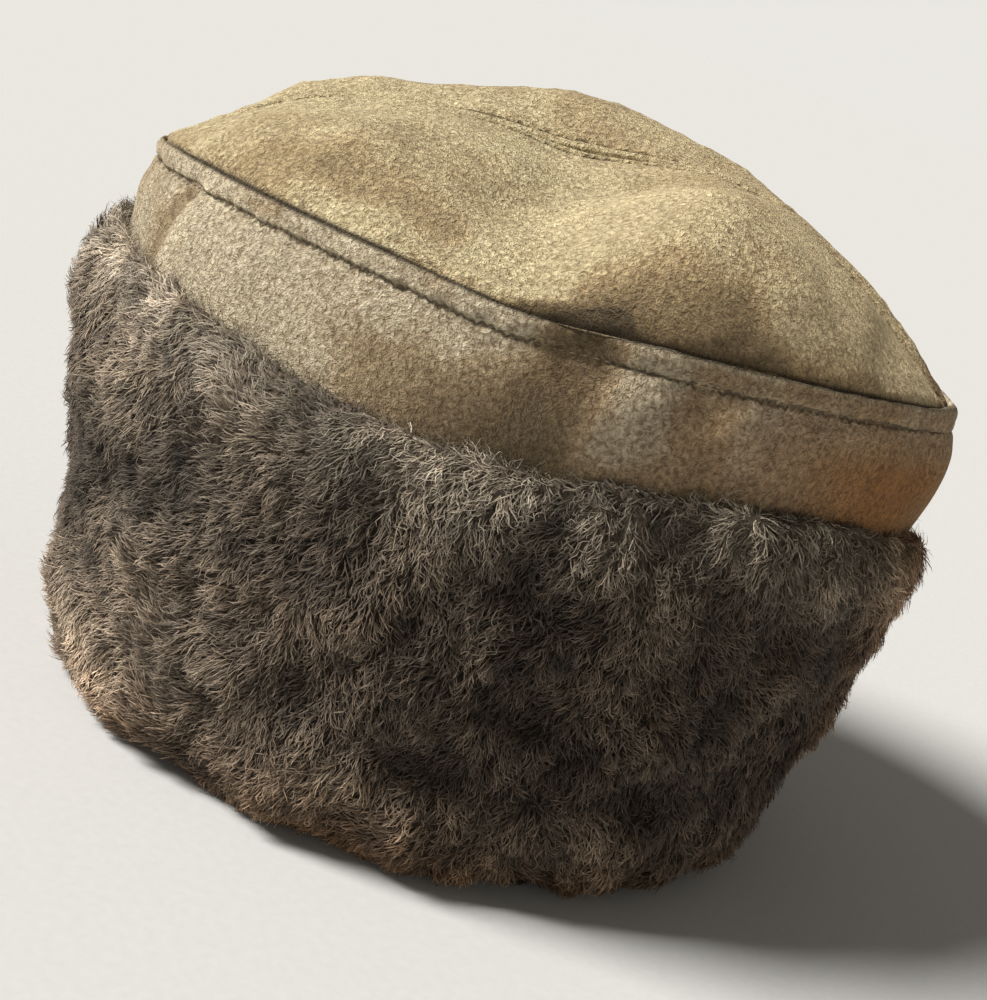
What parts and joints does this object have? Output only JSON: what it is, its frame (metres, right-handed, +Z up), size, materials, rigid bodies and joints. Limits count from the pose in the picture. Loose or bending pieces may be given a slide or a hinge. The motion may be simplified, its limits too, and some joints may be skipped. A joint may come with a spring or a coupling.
{
  "type": "papakha hat",
  "caption": "Soft suede hat with a seamed, dented crown, a side band and a deep fur cuff turned up all round, open below for the head.",
  "frame": {"origin": "centre of the footprint box, on the surface that the hat stands on", "axes": "+X towards the front of the hat, +Y towards the wearer's left, +Z up"},
  "size_m": [0.2884, 0.241, 0.2121],
  "materials": {
    "crown_suede": "olive-tan napped suede",
    "band_suede": "olive-tan napped suede",
    "cuff_fur": "dark grey-brown sheared fur with lighter tips"
  },
  "bodies": {
    "root": {"crown_panel_right": "crown_suede", "crown_panel_left": "crown_suede", "side_band": "band_suede", "fur_cuff": "cuff_fur"}
  },
  "joints": []
}
